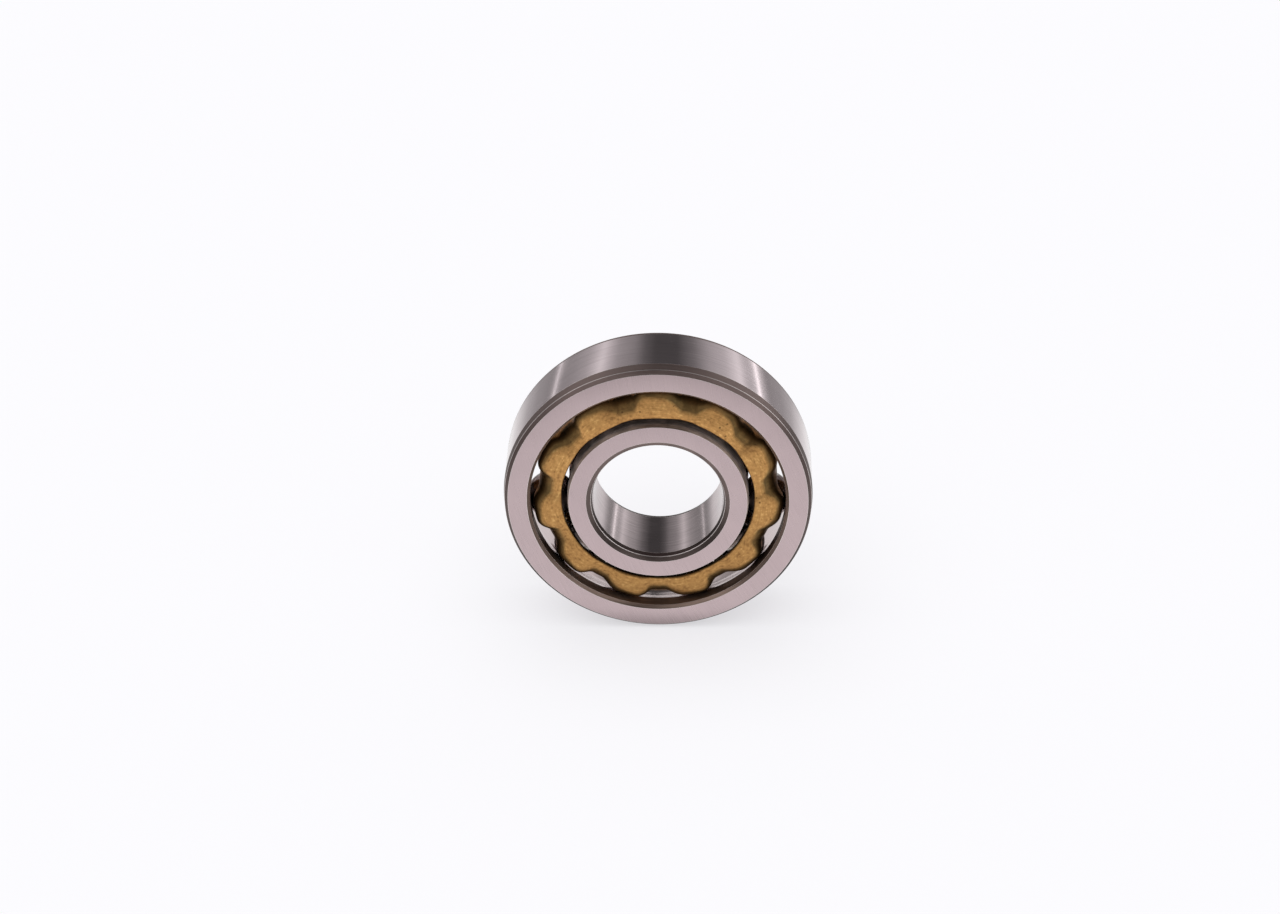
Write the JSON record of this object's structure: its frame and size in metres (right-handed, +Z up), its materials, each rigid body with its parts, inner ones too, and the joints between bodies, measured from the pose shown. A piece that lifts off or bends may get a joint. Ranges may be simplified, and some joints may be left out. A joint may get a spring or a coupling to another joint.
{
  "type": "magneto ball bearing",
  "caption": "Separable single-row ball bearing with a pressed brass cage, one-shouldered outer ring, plain bore and cylindrical outer seat.",
  "frame": {"origin": "centre of the bearing, on its axis, midway between the two side faces", "axes": "+Y along the bearing axis from the shouldered front face to the open rear face, +Z up, the cage bar between ball_11 and ball_01 straight down"},
  "size_m": [0.04, 0.01, 0.04],
  "materials": {
    "ring_steel": "ground side faces, polished seats",
    "cage_brass": "matt pressed sheet",
    "ball_steel": "polished"
  },
  "bodies": {
    "outer_ring": {"outer_ring": "ring_steel"},
    "inner_ring": {"inner_ring": "ring_steel"},
    "cage": {"cage": "cage_brass"},
    "ball_01": {"ball_01": "ball_steel"},
    "ball_02": {"ball_02": "ball_steel"},
    "ball_03": {"ball_03": "ball_steel"},
    "ball_04": {"ball_04": "ball_steel"},
    "ball_05": {"ball_05": "ball_steel"},
    "ball_06": {"ball_06": "ball_steel"},
    "ball_07": {"ball_07": "ball_steel"},
    "ball_08": {"ball_08": "ball_steel"},
    "ball_09": {"ball_09": "ball_steel"},
    "ball_10": {"ball_10": "ball_steel"},
    "ball_11": {"ball_11": "ball_steel"}
  },
  "joints": [
    {"name": "inner_spin", "type": "hinge", "parent": "outer_ring", "child": "inner_ring", "pos_m": [0, 0, 0], "axis": [0, 1, 0], "continuous": true},
    {"name": "cage_spin", "type": "hinge", "parent": "outer_ring", "child": "cage", "pos_m": [0, 0, 0], "axis": [0, 1, 0], "continuous": true},
    {"name": "ball_01_spin", "type": "hinge", "parent": "cage", "child": "ball_01", "pos_m": [-0.00401, 0, -0.01367], "axis": [0, 1, 0], "continuous": true},
    {"name": "ball_02_spin", "type": "hinge", "parent": "cage", "child": "ball_02", "pos_m": [-0.01077, 0, -0.00933], "axis": [0, 1, 0], "continuous": true},
    {"name": "ball_03_spin", "type": "hinge", "parent": "cage", "child": "ball_03", "pos_m": [-0.0141, 0, -0.00203], "axis": [0, 1, 0], "continuous": true},
    {"name": "ball_04_spin", "type": "hinge", "parent": "cage", "child": "ball_04", "pos_m": [-0.01296, 0, 0.00592], "axis": [0, 1, 0], "continuous": true},
    {"name": "ball_05_spin", "type": "hinge", "parent": "cage", "child": "ball_05", "pos_m": [-0.0077, 0, 0.01199], "axis": [0, 1, 0], "continuous": true},
    {"name": "ball_06_spin", "type": "hinge", "parent": "cage", "child": "ball_06", "pos_m": [0, 0, 0.01425], "axis": [0, 1, 0], "continuous": true},
    {"name": "ball_07_spin", "type": "hinge", "parent": "cage", "child": "ball_07", "pos_m": [0.0077, 0, 0.01199], "axis": [0, 1, 0], "continuous": true},
    {"name": "ball_08_spin", "type": "hinge", "parent": "cage", "child": "ball_08", "pos_m": [0.01296, 0, 0.00592], "axis": [0, 1, 0], "continuous": true},
    {"name": "ball_09_spin", "type": "hinge", "parent": "cage", "child": "ball_09", "pos_m": [0.0141, 0, -0.00203], "axis": [0, 1, 0], "continuous": true},
    {"name": "ball_10_spin", "type": "hinge", "parent": "cage", "child": "ball_10", "pos_m": [0.01077, 0, -0.00933], "axis": [0, 1, 0], "continuous": true},
    {"name": "ball_11_spin", "type": "hinge", "parent": "cage", "child": "ball_11", "pos_m": [0.00401, 0, -0.01367], "axis": [0, 1, 0], "continuous": true}
  ],
  "couplings": [
    {"joint": "cage_spin", "follows": "inner_spin", "ratio": 0.3886},
    {"joint": "ball_01_spin", "follows": "inner_spin", "ratio": -2.1327},
    {"joint": "ball_02_spin", "follows": "inner_spin", "ratio": -2.1327},
    {"joint": "ball_03_spin", "follows": "inner_spin", "ratio": -2.1327},
    {"joint": "ball_04_spin", "follows": "inner_spin", "ratio": -2.1327},
    {"joint": "ball_05_spin", "follows": "inner_spin", "ratio": -2.1327},
    {"joint": "ball_06_spin", "follows": "inner_spin", "ratio": -2.1327},
    {"joint": "ball_07_spin", "follows": "inner_spin", "ratio": -2.1327},
    {"joint": "ball_08_spin", "follows": "inner_spin", "ratio": -2.1327},
    {"joint": "ball_09_spin", "follows": "inner_spin", "ratio": -2.1327},
    {"joint": "ball_10_spin", "follows": "inner_spin", "ratio": -2.1327},
    {"joint": "ball_11_spin", "follows": "inner_spin", "ratio": -2.1327}
  ]
}
